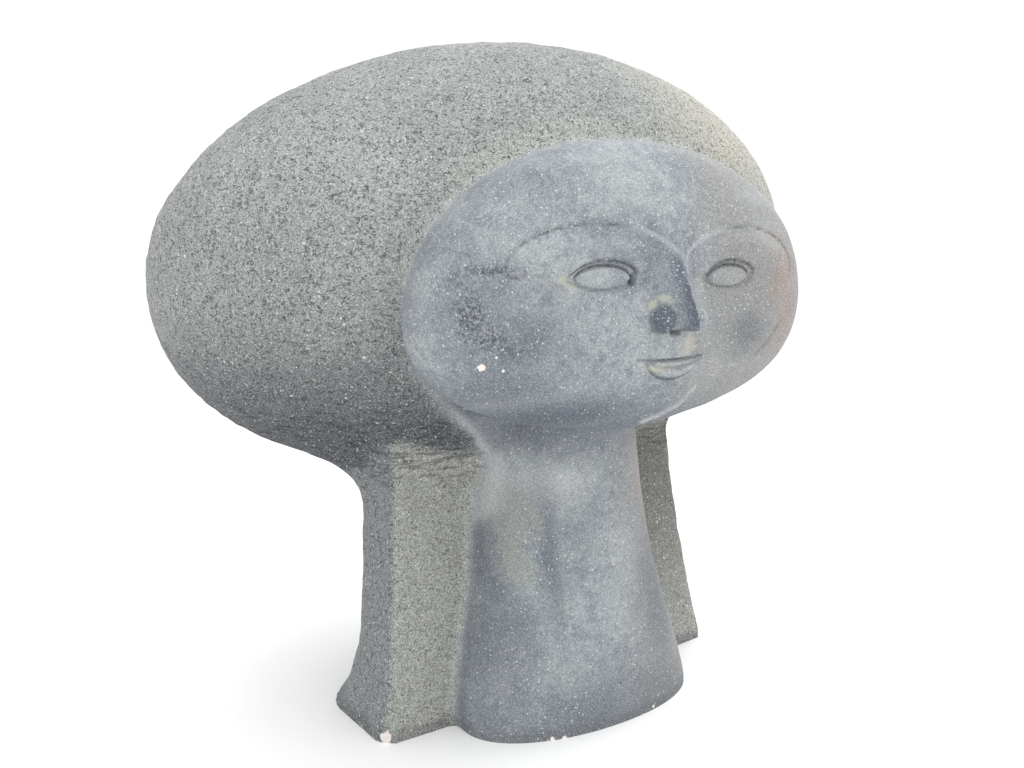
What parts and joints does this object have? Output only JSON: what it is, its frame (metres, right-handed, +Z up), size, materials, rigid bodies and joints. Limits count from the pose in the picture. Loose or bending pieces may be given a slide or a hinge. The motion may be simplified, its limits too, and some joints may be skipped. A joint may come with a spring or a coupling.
{
  "type": "stoneware head sculpture",
  "caption": "Stylised stoneware head with a wide oval face, a large rounded hair mass, a spreading neck and a hair panel behind it.",
  "frame": {"origin": "on the flat underside, level with the ground, in the upright plane through the middle of the face", "axes": "+X across the face, -Y the way the face looks, +Z up"},
  "size_m": [0.4289, 0.3077, 0.382],
  "materials": {
    "stoneware": "matt grogged stoneware, rough on the hair and rubbed smooth on the face and neck"
  },
  "bodies": {
    "root": {"stoneware_head": "stoneware"}
  },
  "joints": []
}
